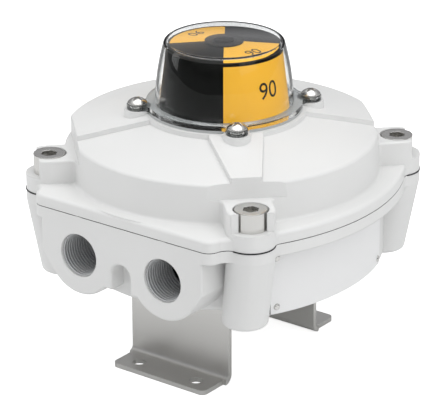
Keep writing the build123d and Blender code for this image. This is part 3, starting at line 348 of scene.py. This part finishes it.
# %% Clear polycarbonate
clear, tree, shader = new_material("clear_polycarbonate", "#FCFDFD", 0.02, IOR=1.34)
shader.inputs["Transmission Weight"].default_value = 1.0
ray = add_node(tree, "ShaderNodeLightPath")
passing = add_node(tree, "ShaderNodeBsdfTransparent", {"Color": linear("#F4F6F6")})
shaded = add_node(tree, "ShaderNodeMixShader", {}, {0: ray.outputs["Is Shadow Ray"],
                  1: shader.outputs[0], 2: passing.outputs[0]})
output = [node for node in tree.nodes if node.bl_idname == "ShaderNodeOutputMaterial"][0]
tree.links.new(shaded.outputs[0], output.inputs["Surface"])
print("dome's index of refraction:", round(shader.inputs["IOR"].default_value, 2))

# %% [markdown]
# Each solid says in the record which finish it has, so a table from the record's words to the
# materials dresses them all. A piece that needs more than that follows by hand in the next
# cell.

# %% Dress the solids
finishes = {"white_coat": powder_coat, "black_rubber": rubber, "stainless_screw": stainless,
            "clear_dome": clear, "black_plastic": black_abs, "yellow_plastic": yellow_abs,
            "shaft_steel": bright_steel, "spring_steel": bright_steel, "bronze": bronze,
            "natural_plastic": natural_acetal, "cam_red": cam_red, "cam_green": cam_green,
            "switch_plastic": switch_case, "plunger_red": cam_red, "spacer_brass": brass,
            "zinc_screw": bright_steel, "plate_steel": bright_steel,
            "terminal_plastic": terminal_grey, "plate_white": plate_white,
            "stainless_sheet": sheet_steel}
for entry in frame["record"]["subparts"]:
    node = frame["nodes"][entry["node"]]
    node.material_slots[0].material = finishes[entry["material_slot"]]

# %% [markdown]
# Two pieces need a hand. The gasket shows through the clear flange as a pale ring, and its
# face lies exactly on the flange's: two faces in one place shade dark, so a film of air parts
# them, as it does between real ones. The name plate is cut from enamelled sheet; its edges
# are dark grey, for the bare cut edge and as painted shadow, and draw a fine dark outline on
# the housing.

# %% Gasket and name plate
AIR_FILM = 0.05
EDGE_FACING = 0.6      # a face that looks along X by less than this is an edge of the plate

gasket = frame["nodes"]["dome_gasket"]
gasket.material_slots[0].material = silicone
film = gasket.modifiers.new("air_film", "DISPLACE")
film.mid_level = 0
film.strength = -AIR_FILM * MM

plate = frame["nodes"]["name_plate"]
# the plate's edge faces get the dark grey: the bare cut edge, and painted shadow beside it
plate.data.materials.append(plate_edge_shadow)
for face in plate.data.polygons:
    face.material_index = 1 if abs(face.normal.x) < EDGE_FACING else 0
print("plate edge faces:", sum(face.material_index for face in plate.data.polygons))

# %% [markdown]
# Small pieces are modelled one at a time. An operator acts on all that is selected, so each
# piece is first picked alone. When it is in its place, that place goes into its mesh, and the
# object itself stays at the origin like the solids from the frame.

# %% Hand tools
def select_only(*objects):
    """Selects these objects alone and makes the last one active."""
    bpy.ops.object.select_all(action="DESELECT")
    for item in objects:
        item.select_set(True)
        bpy.context.view_layer.objects.active = item


def place_in_mesh(item):
    """Puts a piece's place, turn and scale into its mesh."""
    select_only(item)
    bpy.ops.object.transform_apply(location=True, rotation=True, scale=True)


# %% [markdown]
# Each cable entry is tapped M20 x 1.5 through the coat, so its thread is bare metal. One turn
# of the thread is a triangle as wide as the pitch, pressed flat to the height of the thread,
# with its tip to the middle of the bore. The Screw modifier sweeps it down the bore:
# neighbouring turns touch and hide the plain wall that the solid has there.

# %% Cable entry threads
PITCH = 1.5
BORE_RADIUS = 9.17
CREST_RADIUS = 8.65
TURNS = 11
STEPS = 48             # straight steps in one turn
ENTRY_MOUTH = -69.4
ENTRY_REACH, ENTRY_HEIGHT = 21.5, 59.0

# tapped aluminium: cut metal under a dusting of coat, greyish, with fine tool marks (in mm)
TOOL_MARKS, MARK_DEPTH = 0.4, 0.01
tapped_aluminium, tree, shader = new_material("tapped_aluminium", "#CACBCC", 0.50, Metallic=0.25)
place = add_node(tree, "ShaderNodeTexCoord")
marks = add_node(tree, "ShaderNodeTexNoise", {"Scale": 1 / (TOOL_MARKS * MM), "Detail": DETAIL},
                 {"Vector": place.outputs["Object"]})
cut = add_node(tree, "ShaderNodeBump", {"Strength": 0.4, "Distance": MARK_DEPTH * MM},
               {"Height": marks.outputs[0]})
tree.links.new(cut.outputs[0], shader.inputs["Normal"])


def entry_thread(name, x, z):
    """Inside thread of one cable entry, on an axis along Y."""
    # a triangle with sides as long as the pitch has this radius, and is 1.5 times that high
    flank = PITCH / math.sqrt(3)
    squeeze = (BORE_RADIUS - CREST_RADIUS) / (1.5 * flank)
    bpy.ops.object.select_all(action="DESELECT")
    bpy.ops.mesh.primitive_circle_add(vertices=3, radius=flank * MM, rotation=(0, 0, math.pi / 2))
    thread = bpy.context.object
    thread.name = name
    place_in_mesh(thread)
    bpy.ops.object.mode_set(mode="EDIT")
    bpy.ops.mesh.select_all(action="SELECT")
    bpy.ops.transform.resize(value=(squeeze, 1, 1))
    bpy.ops.transform.translate(value=((BORE_RADIUS - flank * squeeze / 2) * MM, 0, 0))
    bpy.ops.object.mode_set(mode="OBJECT")
    sweep = thread.modifiers.new("sweep", "SCREW")
    sweep.axis = "Y"
    sweep.screw_offset = PITCH * MM
    sweep.iterations = TURNS
    sweep.steps = sweep.render_steps = STEPS
    bpy.ops.object.modifier_apply(modifier=sweep.name)
    # the two open ends get a face each
    bpy.ops.object.mode_set(mode="EDIT")
    bpy.ops.mesh.select_all(action="DESELECT")
    bpy.ops.mesh.select_non_manifold()
    bpy.ops.mesh.edge_face_add()
    bpy.ops.mesh.select_all(action="SELECT")
    bpy.ops.mesh.normals_make_consistent(inside=False)
    bpy.ops.object.mode_set(mode="OBJECT")
    thread.location = (x * MM, (ENTRY_MOUTH + PITCH / 2) * MM, z * MM)
    place_in_mesh(thread)
    thread.data.materials.append(tapped_aluminium)
    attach(thread, "housing")
    return thread


threads = [entry_thread("left_entry_thread", -ENTRY_REACH, ENTRY_HEIGHT),
           entry_thread("right_entry_thread", ENTRY_REACH, ENTRY_HEIGHT)]
print("thread faces:", [len(thread.data.polygons) for thread in threads])

# %% [markdown]
# Base and lid meet at a fine dark line all round. On the real box it is the shadow in the
# small groove between their rounded edges, with the rubber behind. Here a thin black sheet
# paints that shadow: a copy of the lid's mating face has just the right outline, and given a
# little thickness and black rubber, and let out by a hair, it lies in the bottom of that groove.

# %% Painted shadow of the seam
SEAM = 76.0
LINE = 0.5         # height of the dark line
SWELL = 0.25       # how far it comes out of the mating face's outline
RIM = 66.0         # the outline lies outside this radius, and all bores inside it
WELD = 0.001       # points closer than this are one
LEVEL = 0.02       # a face this close to the seam's height lies in it
DOWNWARD = -0.99   # the mating face looks straight down
UPRIGHT = 0.1      # a wall looks up or down by less than this


def seam_shadow_sheet():
    """A thin black plate with the outline of the lid's mating face: painted shadow for the seam's
    groove.
    """
    select_only(frame["nodes"]["housing_lid"])
    bpy.ops.object.duplicate()
    plate = bpy.context.object
    plate.name = "seam_shadow_sheet"
    bpy.ops.object.mode_set(mode="EDIT")
    bpy.ops.mesh.select_mode(type="FACE")
    bpy.ops.mesh.select_all(action="SELECT")
    bpy.ops.mesh.remove_doubles(threshold=WELD * MM)
    bpy.ops.mesh.select_all(action="DESELECT")
    bpy.ops.object.mode_set(mode="OBJECT")
    for face in plate.data.polygons:
        off_level = abs(face.center.z - SEAM * MM) > LEVEL * MM
        face.select = off_level or face.normal.z > DOWNWARD
    bpy.ops.object.mode_set(mode="EDIT")
    bpy.ops.mesh.delete(type="FACE")
    # what is left is the mating face: it gets its thickness, half of it on each side
    bpy.ops.mesh.select_all(action="SELECT")
    bpy.ops.mesh.extrude_region_move(TRANSFORM_OT_translate={"value": (0, 0, LINE * MM)})
    bpy.ops.mesh.select_all(action="SELECT")
    bpy.ops.transform.translate(value=(0, 0, -LINE / 2 * MM))
    bpy.ops.mesh.normals_make_consistent(inside=False)
    bpy.ops.mesh.select_all(action="DESELECT")
    bpy.ops.object.mode_set(mode="OBJECT")
    for face in plate.data.polygons:
        face.select = abs(face.normal.z) < UPRIGHT and face.center.xy.length > RIM * MM
    bpy.ops.object.mode_set(mode="EDIT")
    bpy.ops.transform.shrink_fatten(value=SWELL * MM)
    bpy.ops.object.mode_set(mode="OBJECT")
    return plate


# a black sheet in the seam's groove: painted shadow along the joint of base and lid
line = seam_shadow_sheet()
line.data.materials.clear()
line.data.materials.append(rubber)
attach(line, "housing")
print("seam line:", len(line.data.polygons), "faces", [round(v / MM, 2) for v in line.dimensions])

# %% [markdown]
# The indicator says how far the valve is open. Plain numerals, printed in black, stand on the
# yellow panels: upright on the side, and smaller on top. They are set as text and made a mesh.
# Bisecting that into narrow strips gives it points enough to follow a curve.

# %% Numerals as a mesh
PRINT = 0.04           # thickness of the print
STRIP = 0.5            # width of one strip
TYPE_SIZE = 1.4        # size of the type, next to the height of its numerals

# screen-printing ink: black with a dull shine
ink = new_material("black_ink", "#1A1A18", 0.45)[0]


def numerals(name, height_mm):
    """The text 90 as a mesh in the XY plane, cut into strips."""
    bpy.ops.object.select_all(action="DESELECT")
    bpy.ops.object.text_add()
    text = bpy.context.object
    text.name = name
    text.data.body = "90"
    text.data.align_x = "CENTER"
    text.data.align_y = "CENTER"
    text.data.size = height_mm * TYPE_SIZE * MM
    text.data.extrude = PRINT / 2 * MM
    bpy.ops.object.convert(target="MESH")
    bpy.ops.object.mode_set(mode="EDIT")
    cuts = round(height_mm / STRIP)
    for step in range(-cuts, cuts + 1):
        bpy.ops.mesh.select_all(action="SELECT")
        bpy.ops.mesh.bisect(plane_co=(step * STRIP * MM, 0, 0), plane_no=(1, 0, 0))
    bpy.ops.mesh.select_all(action="SELECT")
    bpy.ops.mesh.remove_doubles(threshold=WELD * MM)
    bpy.ops.object.mode_set(mode="OBJECT")
    text.data.materials.append(ink)
    return text


# %% [markdown]
# The drum tapers and its top falls off a little towards the rim, so flat numerals would stand
# proud of it at their ends. Each of their points is put where the drum's surface is, and half
# the print's thickness above it.

# %% Numerals on the drum
FACING = -9.0      # degrees from +X to the middle of the front yellow panel
SIDE_HEIGHT, SIDE_RADIUS, SIDE_TAPER = 120.6, 25.3, 0.136
TOP_RADIUS, TOP_HEIGHT, TOP_FALL = 17.0, 134.25, 0.068
SIDE_NUMERAL, TOP_NUMERAL = 7.0, 5.0


def wrap_on_side(text, angle, height, radius, taper):
    """Lays a flat text round the tapered side: taper is the loss of radius per unit of height."""
    for vertex in text.data.vertices:
        along, rise, out = vertex.co
        reach = radius - taper * rise + out + PRINT / 2 * MM
        turn = angle + along / radius
        vertex.co = (reach * math.cos(turn), reach * math.sin(turn), height + rise)


def lay_on_top(text, angle, radius, height, fall):
    """Lays a flat text on the shallow cone of the top: fall is its drop per unit of radius."""
    outward = Vector((math.cos(angle), math.sin(angle), 0))
    sideways = Vector((-math.sin(angle), math.cos(angle), 0))
    for vertex in text.data.vertices:
        along, rise, out = vertex.co
        flat = outward * (radius - rise) + sideways * along
        surface = height - fall * (flat.length - radius)
        vertex.co = flat + Vector((0, 0, surface + out + PRINT / 2 * MM))


for name, turn in (("front", FACING), ("back", FACING + 180)):
    angle = math.radians(turn)
    side = numerals(name + "_side_numerals", SIDE_NUMERAL)
    wrap_on_side(side, angle, SIDE_HEIGHT * MM, SIDE_RADIUS * MM, SIDE_TAPER)
    top = numerals(name + "_top_numerals", TOP_NUMERAL)
    lay_on_top(top, angle, TOP_RADIUS * MM, TOP_HEIGHT * MM, TOP_FALL)
    for text in (side, top):
        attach(text, "shaft")
    print(name, "numerals:", len(side.data.vertices), len(top.data.vertices), "points")
